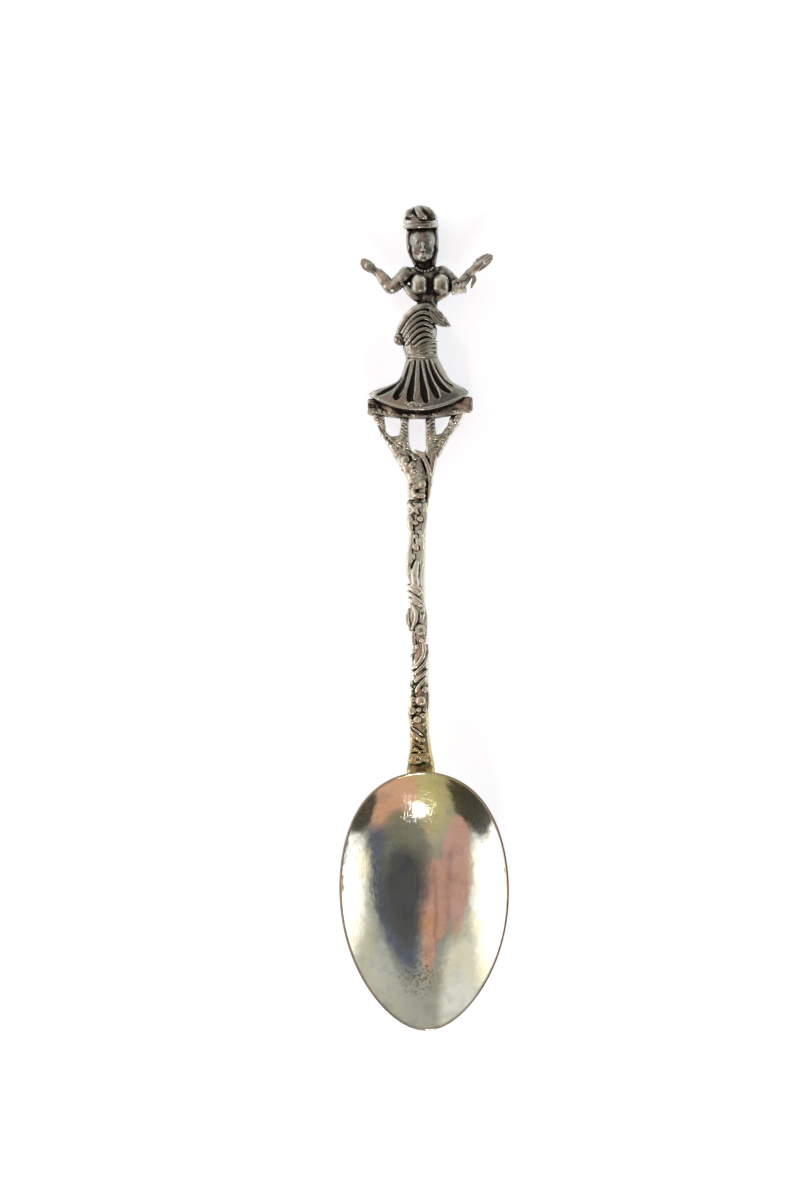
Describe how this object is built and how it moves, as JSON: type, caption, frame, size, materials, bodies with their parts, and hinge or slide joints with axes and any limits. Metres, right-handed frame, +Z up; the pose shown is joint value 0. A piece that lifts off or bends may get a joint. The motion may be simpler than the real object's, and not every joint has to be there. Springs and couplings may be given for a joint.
{
  "type": "souvenir spoon",
  "caption": "Small souvenir spoon: an egg-shaped bowl on a slim stem of twisted vines, forking into branches under a platform and a dancer finial with raised arms and a pleated skirt.",
  "frame": {"origin": "under the middle of the spoon's length, on the surface it lies on, with the bowl's hollow facing up", "axes": "+X to the right when looking down on the front of the spoon with the dancer's head away from the viewer, +Y along the spoon towards the dancer's head, +Z up out of the bowl"},
  "size_m": [0.0228, 0.112, 0.0097],
  "materials": {
    "bowl": "polished silver with light tarnish",
    "stem": "cast silver, worn bright with warm tarnish",
    "ornament": "cast silver, worn bright with dark patina in the recesses",
    "branches": "cast silver with dark patina",
    "dress": "cast silver with dark patina in the folds",
    "figure": "cast silver with dark patina in the recesses"
  },
  "bodies": {
    "root": {"bowl": "bowl", "stem_core": "stem", "stem_collar": "stem", "vine_left": "stem", "vine_right": "stem", "twist_binding": "stem", "stem_leaves": "ornament", "stem_berries": "ornament", "fork_knuckle": "branches", "branch_outer_left": "branches", "branch_inner_left": "branches", "branch_inner_right": "branches", "branch_outer_right": "branches", "platform": "branches", "skirt": "dress", "skirt_yoke": "dress", "hip_sash": "dress", "sash_knot": "dress", "sash_tail": "dress", "torso": "figure", "bodice": "dress", "necklace": "figure", "head": "figure", "hair": "figure", "headwrap": "dress", "headwrap_band": "dress", "arm_left": "figure", "bangle_left": "figure", "hand_left": "figure", "arm_right": "figure", "cuff_right": "dress", "hand_right": "figure"}
  },
  "joints": []
}
